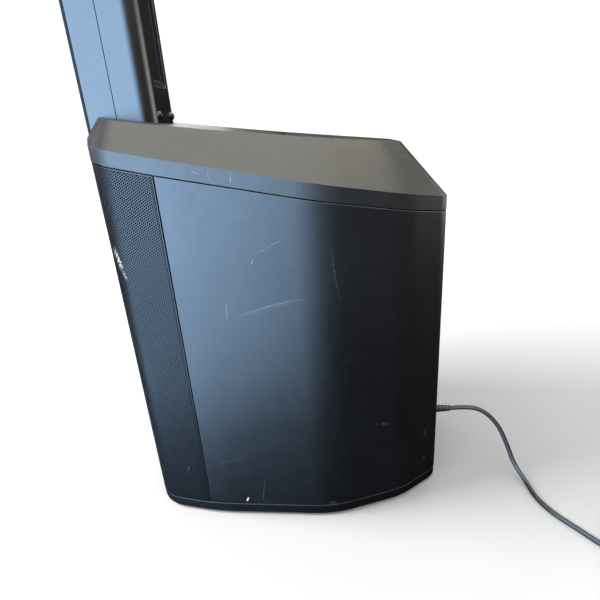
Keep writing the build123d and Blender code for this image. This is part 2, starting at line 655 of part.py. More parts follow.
def array_end_cap():
    return prism(COLUMN, ARRAY_TOP - 5.8, ARRAY_TOP)


# ---------------------------------------------------------------- mains lead
def mains_plug():
    """Appliance connector seated in the inlet, with its tapered strain relief."""
    x, z = INLET_X, INLET_Z
    nose = box(x - 12, x + 12, PANEL_REAR - 2.6, PANEL_REAR + 3, z - 8, z + 8)
    face = rounded_y(x, PANEL_REAR + 2.3, z, 27, 20, 4)
    shoulder = rounded_y(x, 232, z + 0.5, 19, 16, 4)
    body = extrude(face, 14) + loft([Pos(0, 14, 0) * face, shoulder])
    start = Plane(origin=(x, 231.5, z + 0.5), z_dir=(0, 1, 0)) * Circle(6.2)
    end = Plane(origin=LEAD_ROUTE[0], z_dir=(3, 24, 1)) * Circle(LEAD / 2 + 0.6)
    return nose + body + loft([start, end])


def lead_radii():
    """Bend radius at each inner point of the route: 0.45 of the shorter run over the half-turn's tangent."""
    points = [Vector(*p) for p in LEAD_ROUTE]
    radii = []
    for a, b, c in zip(points, points[1:], points[2:]):
        half_turn = (b - a).get_angle(c - b) / 2
        radii.append(0.45 * min((b - a).length, (c - b).length) / tan(radians(half_turn)))
    return radii


def mains_lead():
    path = FilletPolyline(*LEAD_ROUTE, radius=lead_radii())
    start = Plane(origin=path @ 0, z_dir=path % 0)
    tube = sweep(start * Circle(LEAD / 2), path=path)
    ratio = tube.volume / (pi * LEAD * LEAD / 4 * path.length)
    print("lead radii", [round(r) for r in lead_radii()])
    print("lead length", round(path.length), "volume ratio", round(ratio, 4))
    return tube


def lead_coil():
    """Outer shape of the wound turns: three side by side, two high."""
    face = Plane.XZ * Pos(COIL_R, LEAD) * RectangleRounded(3 * LEAD, 2 * LEAD, 3.2)
    return Pos(COIL_X, COIL_Y, 0) * revolve(face, Axis.Z, 360)


def at_coil(angle):
    return Pos(COIL_X, COIL_Y, 0) * Rot(0, 0, angle)


def coil_tie():
    """Hook-and-loop strap over the turns."""
    strap = at_coil(TIE_ANGLE) * box(COIL_R - 11.2, COIL_R + 11.2, -7, 7, 0, 2 * LEAD + 1.2)
    return strap - lead_coil()


def wall_plug():
    """Three-pin plug lying beside the coil, with its tapered strain relief."""
    height = 12.0
    line = at_coil(TAIL_ANGLE) * Pos(COIL_R + LEAD, 0, height) * Rot(-90, 0, 0)
    relief = loft([line * Pos(0, 0, 14) * Circle(LEAD / 2 + 0.6), line * Pos(0, 0, 40) * Circle(6)])
    body = line * Pos(0, 0, 39) * extrude(RectangleRounded(26, 23, 5), 34)
    prongs = [line * Pos(x, 0, 72) * extrude(Pos(0, y) * Rectangle(1.6, 6), 17) for x, y in ((-6, -3), (6, -3))]
    ground = line * Pos(0, 7, 72) * extrude(Circle(2.3), 20)
    return relief + body + prongs[0] + prongs[1] + ground


# ---------------------------------------------------------------- the whole assembly
def build():
    builders = [
        base_plinth, rubber_feet, cabinet_shell, roof_board, front_baffle, port_tubes, cabinet_brace,
        damping_pads, front_grille, grille_cloth, top_cap, handle_bar, column_socket, socket_contacts,
        woofer_basket, woofer_surround, woofer_cone, woofer_dust_cap, woofer_voice_coil, woofer_spider,
        woofer_magnet, woofer_pole, woofer_bolts, rear_panel, display_window, combo_inputs, link_output,
        line_jacks, heat_sink, ac_inlet, rocker_frame, power_rocker, panel_screws, mixer_board,
        amplifier_board, power_supply, spacer_rear_shell, spacer_front_shell, spacer_strip, spacer_foot,
        spacer_head, array_rear_shell, array_grille, array_baffle, array_drivers,
        array_foot, array_end_cap, mains_plug, mains_lead, lead_coil, coil_tie, wall_plug,
    ]
    for builder in builders:
        parts[builder.__name__] = builder()
    for i, x in enumerate(KNOB_X):
        parts[f"channel_knob_{i + 1}"] = knob(x, KNOB_Z, 9, 12)
    parts["menu_knob"] = knob(ENCODER_X, ENCODER_Z, 12, 13)
    parts["button_back"] = panel_button(BUTTON_X[0])
    parts["button_mute"] = panel_button(BUTTON_X[1])
    parts["spacer_screws"] = dome_screws(DOME_LEVELS)


build()
os.makedirs("parts", exist_ok=True)
for name, shape in parts.items():
    export_step(shape, f"parts/{name}.step")
print(len(parts), "nodes")
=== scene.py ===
"""Looks of the column PA system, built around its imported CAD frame.  Metres; -Y is the front, +Z is up."""

import json
from math import cos, pi, radians, sin, sqrt

import bmesh
import bpy
import numpy as np
from mathutils import Matrix, Vector


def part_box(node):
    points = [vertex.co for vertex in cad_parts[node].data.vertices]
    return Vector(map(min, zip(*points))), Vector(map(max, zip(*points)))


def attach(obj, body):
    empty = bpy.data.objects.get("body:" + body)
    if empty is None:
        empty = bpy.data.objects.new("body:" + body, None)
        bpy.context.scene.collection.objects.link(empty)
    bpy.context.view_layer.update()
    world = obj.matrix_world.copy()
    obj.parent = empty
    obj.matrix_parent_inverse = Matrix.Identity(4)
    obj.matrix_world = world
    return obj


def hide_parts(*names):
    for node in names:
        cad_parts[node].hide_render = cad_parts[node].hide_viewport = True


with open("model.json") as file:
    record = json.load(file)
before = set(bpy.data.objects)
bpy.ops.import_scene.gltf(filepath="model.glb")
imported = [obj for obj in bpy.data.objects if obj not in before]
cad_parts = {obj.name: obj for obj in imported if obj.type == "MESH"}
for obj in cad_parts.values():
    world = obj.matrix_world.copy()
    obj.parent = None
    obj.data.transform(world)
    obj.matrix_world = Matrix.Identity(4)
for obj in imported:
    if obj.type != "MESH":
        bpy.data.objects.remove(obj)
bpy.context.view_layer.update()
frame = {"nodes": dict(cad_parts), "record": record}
MM = 0.001
BODIES = frame["record"]["behaviour"]["bodies"]
BODY_OF = {node: body for body, nodes in BODIES.items() for node in nodes}
SLOT_OF = {name: obj.data.materials[0].name for name, obj in frame["nodes"].items()}


# ---------------------------------------------------------------- camera
CAMERA_PLACE = (0.6418, 0.1104, 0.5100)
CAMERA_HEADING, CAMERA_PITCH, CAMERA_ROLL = radians(-173.0), radians(-20.79), radians(-4.2)
CAMERA_LENS, SENSOR = 26.4, 36.0


def make_camera():
    data = bpy.data.cameras.new("camera")
    data.lens, data.sensor_width = CAMERA_LENS, SENSOR
    data.clip_start, data.clip_end = 0.01, 60.0
    camera = bpy.data.objects.new("camera", data)
    camera.location = CAMERA_PLACE
    turn = Matrix.Rotation(CAMERA_HEADING - pi / 2, 3, "Z")
    tilt = Matrix.Rotation(pi / 2 + CAMERA_PITCH, 3, "X")
    camera.rotation_euler = (turn @ tilt @ Matrix.Rotation(CAMERA_ROLL, 3, "Z")).to_euler()
    bpy.context.scene.collection.objects.link(camera)
    bpy.context.scene.camera = camera


# ---------------------------------------------------------------- mains lead
LEAD = 6.6 * MM
LEAD_ROUTE = [
    (0.037, 0.262, 0.089), (0.040, 0.287, 0.094), (0.045, 0.310, 0.090), (0.054, 0.330, 0.071),
    (0.066, 0.342, 0.043), (0.078, 0.350, 0.017), (0.101, 0.362, 0.0033), (0.129, 0.363, 0.0033),
    (0.157, 0.375, 0.0033), (0.181, 0.395, 0.0033), (0.207, 0.415, 0.0033),
]
COIL_CENTRE = Vector((0.205, 0.478, 0.0))
COIL_R = 40.0 * MM
COIL_TURNS = 5                      # whole turns, before the last stretch to the tail's angle
COIL_ENTRY, TAIL_ANGLE = -60.0, 75.0
POINTS_PER_TURN = 18


def coil_place(turned):
    """Radius and height of the wound lead after so many degrees: inwards, then outwards in a top layer."""
    def step(start, span=60.0):
        share = min(max((turned - start) / span, 0.0), 1.0)
        return share * share * (3 - 2 * share)
    radius = COIL_R + LEAD * (1 - step(300) - step(660) + step(1260) + step(1620))
    height = LEAD / 2 + LEAD * step(960)
    return radius, height


def coil_points():
    """The coil's turns as points of the lead's own spline."""
    last = COIL_TURNS * 360 + TAIL_ANGLE - COIL_ENTRY
    count = round(last / 360 * POINTS_PER_TURN)
    outward = 1 / cos(pi / POINTS_PER_TURN)      # the spline cuts inside its control points
    points = []
    for i in range(count + 1):
        turned = last * i / count
        radius, height = coil_place(turned)
        angle = radians(COIL_ENTRY + turned)
        across = radius * outward
        points.append(COIL_CENTRE + Vector((across * cos(angle), across * sin(angle), height)))
    return points


def tail_points():
    """The short straight run from the coil into the wall plug's strain relief."""
    angle = radians(TAIL_ANGLE)
    start = COIL_CENTRE + (COIL_R + LEAD) * Vector((cos(angle), sin(angle), 0))
    along = Vector((-sin(angle), cos(angle), 0))
    runs = ((9 * MM, 10.8 * MM), (18 * MM, 12 * MM))       # distance along the tail, height
    return [start + along * reach + Vector((0, 0, height)) for reach, height in runs]


def make_lead():
    curve = bpy.data.curves.new("mains_lead_flex", "CURVE")
    curve.dimensions = "3D"
    curve.bevel_depth, curve.bevel_resolution, curve.resolution_u = LEAD / 2, 4, 6
    curve.use_fill_caps = True
    points = [Vector(p) for p in LEAD_ROUTE] + coil_points() + tail_points()
    spline = curve.splines.new("NURBS")
    spline.points.add(len(points) - 1)
    for point, place in zip(spline.points, points):
        point.co = (*place, 1.0)
    spline.order_u = 3
    spline.use_endpoint_u = True
    lead = bpy.data.objects.new("mains_lead_flex", curve)
    bpy.context.scene.collection.objects.link(lead)
    return lead


make_camera()
LEAD_PIECE = make_lead()


# ---------------------------------------------------------------- materials
class Finish:
    """One material: a Principled shader fed by small helpers that work in the object's own metres."""

    def __init__(self, name, colour, roughness, metallic=0.0, **sockets):
        self.material = bpy.data.materials.new(name)
        self.material.use_nodes = True
        self.tree = self.material.node_tree
        self.shader = self.tree.nodes["Principled BSDF"]
        self.place = self.node("ShaderNodeTexCoord").outputs["Object"]
        self.colour, self.height = (*colour, 1.0), None
        self.shader.inputs["Base Color"].default_value = self.colour
        self.shader.inputs["Roughness"].default_value = roughness
        self.shader.inputs["Metallic"].default_value = metallic
        self.roughness = roughness
        for socket, value in sockets.items():
            self.shader.inputs[socket.replace("_", " ")].default_value = value

    def node(self, kind, **settings):
        made = self.tree.nodes.new(kind)
        for key, value in settings.items():
            setattr(made, key, value)
        return made

    def plug(self, value, socket):
        if isinstance(value, bpy.types.NodeSocket):
            self.tree.links.new(value, socket)
        else:
            socket.default_value = value

    def math(self, operation, *values, clamp=False):
        made = self.node("ShaderNodeMath", operation=operation, use_clamp=clamp)
        for value, socket in zip(values, made.inputs):
            self.plug(value, socket)
        return made.outputs[0]

    def mapped(self, scale=(1, 1, 1), shift=(0, 0, 0), turn=(0, 0, 0)):
        made = self.node("ShaderNodeMapping", vector_type="POINT")
        self.plug(self.place, made.inputs["Vector"])
        made.inputs["Location"].default_value = shift
        made.inputs["Rotation"].default_value = turn
        made.inputs["Scale"].default_value = scale
        return made.outputs[0]

    def noise(self, scale, detail=2.0, place=None, distortion=0.0):
        made = self.node("ShaderNodeTexNoise")
        self.plug(place or self.place, made.inputs["Vector"])
        made.inputs["Scale"].default_value = scale
        made.inputs["Detail"].default_value = detail
        made.inputs["Distortion"].default_value = distortion
        return made.outputs["Fac"]

    def cells(self, scale, place=None, feature="F1"):
        made = self.node("ShaderNodeTexVoronoi", feature=feature)
        self.plug(place or self.place, made.inputs["Vector"])
        made.inputs["Scale"].default_value = scale
        return made.outputs["Distance"]

    def span(self, value, low, high, out_low=0.0, out_high=1.0):
        """value, from low..high to out_low..out_high, held at the ends."""
        made = self.node("ShaderNodeMapRange", clamp=True)
        for item, socket in zip((value, low, high, out_low, out_high), made.inputs):
            self.plug(item, socket)
        return made.outputs[0]

    def blend(self, share, first, second):
        made = self.node("ShaderNodeMix", data_type="RGBA")
        for item, socket in ((share, made.inputs[0]), (first, made.inputs[6]), (second, made.inputs[7])):
            if isinstance(item, tuple) and len(item) == 3:
                item = (*item, 1.0)
            self.plug(item, socket)
        return made.outputs[2]

    def tint(self, share, colour):
        """Lays another colour over the base colour where share is high."""
        self.colour = self.blend(share, self.colour, colour)
        self.plug(self.colour, self.shader.inputs["Base Color"])
        return self

    def mottle(self, scale, amount=0.5, detail=3.0):
        """Slow colour variation towards a darker shade."""
        dark = tuple(c * (1 - amount) for c in self.shader.inputs["Base Color"].default_value[:3])
        return self.tint(self.span(self.noise(scale, detail), 0.3, 0.7), dark)

    def gloss(self, share, amount):
        """Adds amount to the roughness where share is high."""
        added = self.math("MULTIPLY_ADD", share, amount, self.roughness, clamp=True)
        self.roughness = added
        self.plug(added, self.shader.inputs["Roughness"])
        return self

    def relief(self, height, depth):
        """Adds a height field, depth metres from 0 to 1."""
        made = self.node("ShaderNodeBump")
        made.inputs["Strength"].default_value = 1.0
        made.inputs["Distance"].default_value = depth
        self.plug(height, made.inputs["Height"])
        if self.height is not None:
            self.plug(self.height, made.inputs["Normal"])
        self.height = made.outputs[0]
        self.plug(self.height, self.shader.inputs["Normal"])
        return self

    def edge_wear(self, colour, amount=0.6, patch=60.0):
        """Rubbed edges: the bevelled faces carry the wear attribute."""
        worn = self.node("ShaderNodeAttribute", attribute_name="wear").outputs["Fac"]
        share = self.math("MULTIPLY", worn, self.span(self.noise(patch, 3.0), 0.35, 0.65, 0.15, amount))
        return self.tint(share, colour)

    def scratches(self, colour, amount=0.5, scale=14.0, stretch=(1, 0.05, 1), turn=(0.6, 0, 0), limit=0.71):
        """Fine random scratches along one rough direction."""
        lines = self.noise(scale, 2.0, self.mapped(scale=tuple(12 * s for s in stretch), turn=turn), 0.6)
        where = self.span(self.noise(9.0, 1.0), 0.5, 0.62)
        share = self.math("MULTIPLY", self.span(lines, limit, limit + 0.05), where)
        return self.tint(self.math("MULTIPLY", share, amount), colour)

    def mark(self, centre, half_length, half_width, lean, colour, amount, breakup=260.0, bow=0.0):
        """One scuff or scratch in the YZ plane, leaning some degrees from +Y, broken up by noise."""
        shifted = self.node("ShaderNodeVectorMath", operation="SUBTRACT")
        self.plug(self.place, shifted.inputs[0])
        shifted.inputs[1].default_value = centre
        turned = self.node("ShaderNodeVectorRotate", rotation_type="X_AXIS")
        self.plug(shifted.outputs[0], turned.inputs["Vector"])
        turned.inputs["Angle"].default_value = -radians(lean)
        split = self.node("ShaderNodeSeparateXYZ")
        self.plug(turned.outputs[0], split.inputs[0])
        along, across = split.outputs[1], split.outputs[2]
        if bow:
            across = self.math("MULTIPLY_ADD", self.math("MULTIPLY", along, along), bow, across)
        inside = self.math("MULTIPLY",
                           self.span(self.math("ABSOLUTE", along), half_length * 0.4, half_length, 1.0, 0.0),
                           self.span(self.math("ABSOLUTE", across), half_width * 0.4, half_width, 1.0, 0.0))
        near = self.span(self.math("ABSOLUTE", split.outputs[0]), 0.02, 0.022, 1.0, 0.0)
        broken = self.span(self.noise(breakup, 3.0), 0.42, 0.62)
        share = self.math("MULTIPLY", self.math("MULTIPLY", inside, near), broken)
        return self.tint(self.math("MULTIPLY", share, amount), colour)


SATIN = dict(Specular_IOR_Level=0.36)
SIDE_X = 0.17               # plane of the cabinet's side, where most marks lie
PALE_WEAR = (0.34, 0.36, 0.38)


def moulded(name, colour, roughness, grain=1500.0, depth=0.00003, wear=0.25, **sockets):
    """Fine-textured moulded plastic with slow variation and rubbed edges."""
    finish = Finish(name, colour, roughness, **{**SATIN, **sockets})
    finish.mottle(7.0, 0.35)
    finish.gloss(finish.span(finish.noise(5.0, 4.0), 0.3, 0.7, -1.0, 1.0), 0.035)
    finish.gloss(finish.span(finish.noise(60.0, 2.0), 0.3, 0.7, -1.0, 1.0), 0.02)
    finish.relief(finish.noise(grain, 2.0), depth)
    finish.edge_wear(PALE_WEAR, wear)
    return finish


def cabinet_plastic():
    finish = moulded("cabinet_plastic_worn", (0.0045, 0.0047, 0.0052), 0.38, 650.0, 0.00013, wear=0.10)
    finish.scratches((0.20, 0.21, 0.23), 0.22)
    finish.relief(finish.noise(11.0, 1.0), 0.00012)
    pale, smudge = (0.30, 0.33, 0.37), (0.045, 0.052, 0.048)
    finish.mark((SIDE_X, 0.016, 0.323), 0.047, 0.0011, 14, pale, 0.38, 900.0, bow=1.5)    # long scratch
    finish.mark((SIDE_X, 0.018, 0.321), 0.034, 0.0030, 14, pale, 0.12, 900.0, bow=1.5)    # rub beside it
    finish.mark((SIDE_X, -0.036, 0.318), 0.013, 0.0006, 84, pale, 0.65, 900.0)
    finish.mark((SIDE_X, 0.001, 0.377), 0.004, 0.0006, 60, pale, 0.7, 900.0)
    finish.mark((SIDE_X, 0.024, 0.395), 0.030, 0.0006, 25, pale, 0.28, 700.0)
    finish.mark((0.166, 0.094, 0.355), 0.034, 0.0014, -83, pale, 0.12, 500.0)               # upright scuff
    chip = (0.8, 0.8, 0.78)
    finish.mark((SIDE_X, -0.043, 0.0285), 0.0045, 0.0016, 66, chip, 1.0, 8.0)               # near the base
    finish.mark((SIDE_X, -0.018, 0.046), 0.026, 0.0006, 80, pale, 0.32, 700.0, bow=3.0)
    finish.mark((SIDE_X, -0.060, 0.095), 0.030, 0.0006, 15, pale, 0.22, 700.0)
    finish.mark((0.168, 0.078, 0.0235), 0.008, 0.0035, 15, (0.11, 0.035, 0.035), 0.8)       # reddish rub
    finish.mark((0.144, 0.148, 0.139), 0.010, 0.0030, -14, smudge, 0.9)
    finish.mark((0.106, 0.211, 0.096), 0.009, 0.0022, 84, smudge, 0.9)
    finish.mark((0.106, 0.211, 0.050), 0.007, 0.0026, 80, smudge, 0.9)
    return finish


def cap_plastic():
    finish = moulded("cap_plastic_worn", (0.012, 0.0117, 0.0104), 0.42, 700.0, 0.00016)
    finish.scratches((0.30, 0.31, 0.33), 0.18, turn=(0.2, 0, 0))
    pale = (0.45, 0.48, 0.52)
    finish.mark((SIDE_X, -0.050, 0.478), 0.007, 0.0007, 150, pale, 0.35, 700.0, bow=9.0)   # rubs on the band
    finish.mark((SIDE_X, -0.036, 0.474), 0.006, 0.0006, 95, pale, 0.35, 700.0)
    finish.mark((SIDE_X, -0.012, 0.471), 0.008, 0.0006, 82, pale, 0.5, 700.0)
    finish.mark((0.13, -0.03, 0.505), 0.016, 0.0005, 30, pale, 0.08, 700.0)
    return finish


def column_plastic():
    finish = moulded("column_plastic_worn", (0.006, 0.0062, 0.0068), 0.33, depth=0.00002,
                     Specular_IOR_Level=0.47)
    finish.relief(finish.noise(6.0, 0.0, finish.mapped(scale=(4, 4, 0.2))), 0.0001)
    return finish


def base_plastic():
    finish = moulded("base_plastic_worn", (0.0042, 0.0043, 0.0047), 0.45, 900.0, 0.00005, wear=0.06,
                     Specular_IOR_Level=0.15)
    finish.scratches((0.20, 0.19, 0.18), 0.25, turn=(0.05, 0, 0))
    return finish


def black_plastic():
    return moulded("black_plastic_moulded", (0.012, 0.012, 0.013), 0.45)


def knob_plastic():
    return moulded("knob_plastic_moulded", (0.016, 0.016, 0.017), 0.52, grain=2500.0)


def lead_pvc():
    finish = moulded("lead_pvc_flex", (0.012, 0.012, 0.0125), 0.40, grain=900.0, depth=0.00002)
    return finish.gloss(finish.span(finish.noise(35.0, 3.0), 0.35, 0.65), 0.12)


def grille_steel():
    finish = Finish("grille_steel_coated", (0.005, 0.0052, 0.006), 0.42, Specular_IOR_Level=0.27)
    finish.mottle(9.0, 0.4)
    finish.relief(finish.noise(1800.0, 2.0), 0.00002)
    white = (0.82, 0.82, 0.80)
    finish.mark((0.156, -0.166, 0.382), 0.017, 0.0045, -76, white, 1.0, 420.0)      # scuff on the corner
    finish.mark((0.158, -0.160, 0.362), 0.006, 0.0025, -70, white, 0.8, 500.0)
    finish.mark((SIDE_X, -0.125, 0.075), 0.007, 0.0012, 70, white, 0.25, 400.0)
    return finish.gloss(finish.span(finish.noise(8.0, 3.0), 0.3, 0.7, -1.0, 1.0), 0.05)


def coated_steel():
    finish = Finish("steel_black_coated", (0.014, 0.014, 0.015), 0.4, Specular_IOR_Level=0.4)
    finish.mottle(20.0, 0.4)
    return finish.relief(finish.noise(900.0, 2.0), 0.00003).edge_wear((0.35, 0.35, 0.36), 0.3)


def panel_metal():
    finish = Finish("panel_metal_coated", (0.016, 0.0165, 0.0175), 0.46, Specular_IOR_Level=0.45)
    finish.mottle(14.0, 0.3)
    finish.relief(finish.cells(700.0), 0.00004)
    finish.scratches((0.35, 0.35, 0.36), 0.25, scale=20.0, turn=(0, 0.5, 0))
    return finish.edge_wear((0.4, 0.4, 0.4), 0.35)


def foam_cloth():
    finish = Finish("foam_cloth_open", (0.002, 0.002, 0.0022), 1.0, Specular_IOR_Level=0.0)
    finish.tint(finish.span(finish.cells(700.0), 0.2, 0.6), (0.005, 0.005, 0.0055))
    return finish.relief(finish.cells(600.0), 0.0006)


def rubber():
    finish = Finish("rubber_matt", (0.014, 0.014, 0.014), 0.78, Specular_IOR_Level=0.3)
    finish.mottle(60.0, 0.4)
    finish.tint(finish.span(finish.noise(180.0, 3.0), 0.58, 0.75, 0.0, 0.35), (0.12, 0.115, 0.105))
    return finish.relief(finish.noise(700.0, 2.0), 0.00008)


def wood(name, light, dark, scale):
    finish = Finish(name, light, 0.6)
    grain = finish.noise(scale, 5.0, finish.mapped(scale=(1, 0.12, 0.12)), 0.8)
    finish.tint(finish.span(grain, 0.35, 0.65), dark)
    return finish.relief(grain, 0.0002)


def board_wood():
    return wood("board_wood_plain", (0.42, 0.27, 0.13), (0.22, 0.13, 0.06), 90.0)


def felt():
    finish = Finish("felt_grey", (0.16, 0.16, 0.165), 0.95, Sheen_Weight=0.4)
    finish.tint(finish.span(finish.noise(600.0, 4.0), 0.35, 0.7), (0.06, 0.06, 0.065))
    return finish.relief(finish.noise(900.0, 4.0), 0.0008)


def brushed(name, colour, roughness, scale=400.0, stretch=(1, 1, 0.04)):
    """Bare metal with a brushed grain and slow tarnish."""
    finish = Finish(name, colour, roughness, 1.0)
    lines = finish.noise(scale, 3.0, finish.mapped(scale=stretch))
    finish.gloss(finish.span(lines, 0.3, 0.7, -1.0, 1.0), 0.08)
    finish.tint(finish.span(finish.noise(45.0, 4.0), 0.5, 0.8, 0.0, 0.5), tuple(0.55 * c for c in colour))
    return finish.relief(lines, 0.00002)


def cooler():
    finish = brushed("cooler_anodised", (0.035, 0.036, 0.038), 0.42, stretch=(1, 0.04, 1))
    finish.shader.inputs["Metallic"].default_value = 0.8
    return finish.edge_wear((0.5, 0.5, 0.5), 0.3)


def screw_steel():
    finish = brushed("screw_steel_black", (0.03, 0.03, 0.032), 0.28, 700.0, (1, 1, 1))
    finish.shader.inputs["Metallic"].default_value = 0.7
    return finish.edge_wear((0.45, 0.45, 0.45), 0.5)


def circuit():
    finish = Finish("circuit_lacquer", (0.015, 0.075, 0.035), 0.35)
    tracks = finish.cells(220.0, feature="DISTANCE_TO_EDGE")
    finish.tint(finish.span(tracks, 0.04, 0.08, 0.7, 0.0), (0.03, 0.16, 0.07))
    return finish.relief(finish.span(tracks, 0.04, 0.08), 0.00005)


def cone_paper():
    finish = Finish("cone_paper_coated", (0.014, 0.014, 0.015), 0.7)
    finish.mottle(120.0, 0.4)
    return finish.relief(finish.noise(500.0, 5.0), 0.0002)


def spider_cloth():
    finish = Finish("spider_cloth_woven", (0.36, 0.25, 0.10), 0.85)
    weave = finish.cells(900.0)
    finish.tint(finish.span(weave, 0.2, 0.6), (0.2, 0.13, 0.05))
    return finish.relief(weave, 0.0003)


def ferrite():
    finish = Finish("ferrite_ground", (0.05, 0.05, 0.055), 0.6)
    finish.mottle(90.0, 0.4)
    return finish.relief(finish.noise(500.0, 3.0), 0.0001)


def display_glass():
    finish = Finish("display_glass_dark", (0.004, 0.005, 0.008), 0.08, Coat_Weight=0.6, Coat_Roughness=0.03)
    finish.tint(finish.span(finish.noise(30.0, 3.0), 0.45, 0.75, 0.0, 0.5), (0.008, 0.009, 0.012))
    return finish.gloss(finish.span(finish.noise(24.0, 5.0), 0.5, 0.75), 0.14)


def strip_matt():
    """Matt insert along the front of the spacer."""
    finish = Finish("black_plastic_matt_insert", (0.004, 0.004, 0.0042), 0.62, Specular_IOR_Level=0.12)
    finish.mottle(12.0, 0.3)
    return finish.relief(finish.noise(900.0, 2.0), 0.00005).edge_wear((0.05, 0.04, 0.035), 0.5)


def print_white():
    """Silk-screened marks on the rear panel."""
    finish = Finish("panel_print", (0.62, 0.63, 0.64), 0.55)
    finish.tint(finish.span(finish.noise(700.0, 3.0), 0.55, 0.7, 0.0, 0.7), (0.2, 0.2, 0.2))
    return finish


MAKERS = {
    "cabinet_plastic": cabinet_plastic, "cap_plastic": cap_plastic, "grille_steel": grille_steel,
    "foam_cloth": foam_cloth, "base_plastic": base_plastic, "rubber": rubber, "board_wood": board_wood,
    "felt": felt, "black_plastic": black_plastic, "steel_black": coated_steel, "panel_metal": panel_metal,
    "cooler": cooler, "screw_steel": screw_steel,
    "contact_brass": lambda: brushed("contact_brass_plated", (0.78, 0.55, 0.20), 0.3),
    "ferrite": ferrite, "motor_steel": lambda: brushed("motor_steel_plated", (0.55, 0.54, 0.50), 0.35),
    "cone_paper": cone_paper, "copper": lambda: brushed("copper_winding", (0.75, 0.33, 0.16), 0.35, 900.0),
    "spider_cloth": spider_cloth, "circuit": circuit, "display_glass": display_glass,
    "knob_plastic": knob_plastic, "column_plastic": column_plastic, "lead_pvc": lead_pvc,
}
MATERIALS = {slot: maker().material for slot, maker in MAKERS.items()}
MATERIALS["print"] = print_white().material
MATERIALS["strip_matt"] = strip_matt().material


# ---------------------------------------------------------------- mesh helpers
def add_piece(name, mesh, node, slot=None, replaces=True):
    """Puts a mesh in the scene, riding with a CAD node's body and, if asked, standing for the node."""
    piece = bpy.data.objects.new(name, mesh)
    bpy.context.scene.collection.objects.link(piece)
    slot = slot or SLOT_OF[node]
    mesh.materials.clear()
    mesh.materials.append(MATERIALS[slot])
    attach(piece, BODY_OF[node])
    if replaces:
        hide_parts(node)
    return piece


def even_normals(piece):
    """Smooth shading whose normals follow the large faces, so that the small bevels carry the curvature."""
    piece.data.polygons.foreach_set("use_smooth", [True] * len(piece.data.polygons))
    weighted = piece.modifiers.new("even_normals", "WEIGHTED_NORMAL")
    weighted.weight, weighted.keep_sharp = 100, True
    return piece


def cad_copy(node):
    """A CAD node's mesh with its split vertices joined and its flat triangles merged."""
    source = frame["nodes"][node].data
    mesh = bpy.data.meshes.new(node)
    faces = [tuple(p.vertices) for p in source.polygons]
    mesh.from_pydata([v.co.copy() for v in source.vertices], [], faces)
    made = bmesh.new()
    made.from_mesh(mesh)
    bmesh.ops.remove_doubles(made, verts=made.verts, dist=0.004 * MM)
    bmesh.ops.dissolve_limit(made, angle_limit=radians(0.4), verts=made.verts, edges=made.edges)
    return made, mesh


SHARP_EDGE = radians(28.0)


def softened(node, width):
    """A CAD node with its edges rounded off; the rounded faces carry the wear attribute."""
    made, mesh = cad_copy(node)
    wear = made.faces.layers.float.new("wear")          # first: a new layer invalidates edges picked before it
    sharp = [e for e in made.edges if len(e.link_faces) == 2 and e.calc_face_angle(0) > SHARP_EDGE]
    result = bmesh.ops.bevel(made, geom=sharp, offset=width, offset_type="OFFSET", segments=2, profile=0.5,
                             affect="EDGES", clamp_overlap=True)
    for face in result["faces"]:
        face[wear] = 1.0
    made.to_mesh(mesh)
    made.free()
    return even_normals(add_piece(f"{node}_moulding", mesh, node))


def mesh_of(name, vertices, faces):
    mesh = bpy.data.meshes.new(name)
    mesh.from_pydata(vertices, [], faces)
    mesh.update()
    return mesh


# ---------------------------------------------------------------- perforated sheets
def front_path(node):
    """Outer outline of a sheet wrapped round the front, seen from above, from the +X end to the -X end."""
    places = np.array([v.co for v in frame["nodes"][node].data.vertices])
    low = places[:, 2].min()
    ring = np.unique(places[places[:, 2] < low + 0.1 * MM][:, :2].round(6), axis=0)
    hull = []
    for points in (ring, ring[::-1]):                   # lower and upper half of the convex hull
        half = []
        for p in points:
            while len(half) > 1 and np.cross(half[-1] - half[-2], p - half[-2]) <= 1e-12:
                half.pop()
            half.append(p)
        hull += half[:-1]
    hull = np.array(hull)
    rear = hull[:, 1].max()
    widest = abs(ring[:, 0]).max()
    ends = [i for i, (x, y) in enumerate(hull) if y > rear - 0.1 * MM and abs(x) > widest - MM]
    start = max(ends, key=lambda i: hull[i, 0])
    path = np.roll(hull[::-1], -(len(hull) - 1 - start), axis=0)
    return path, low


class Wrap:
    """Places on an upright sheet: u along its outline from the middle of the front, z up, depth inwards."""

    def __init__(self, path):
        self.path = path
        steps = np.hypot(*np.diff(path, axis=0).T)
        self.run = np.concatenate([[0], np.cumsum(steps)])
        self.half = self.run[-1] / 2
        along = np.gradient(path, self.run, axis=0)
        along /= np.hypot(*along.T)[:, None]
        self.inward = np.stack([along[:, 1], -along[:, 0]], axis=1)
        middle = path.mean(axis=0)
        if ((middle - path) * self.inward).sum() < 0:
            self.inward = -self.inward

    def at(self, u, z, depth=0.0):
        s = np.asarray(u) + self.half
        flat = [np.interp(s, self.run, self.path[:, k]) + depth * np.interp(s, self.run, self.inward[:, k])
                for k in (0, 1)]
        return np.stack([*flat, np.broadcast_to(z, flat[0].shape)], axis=-1)


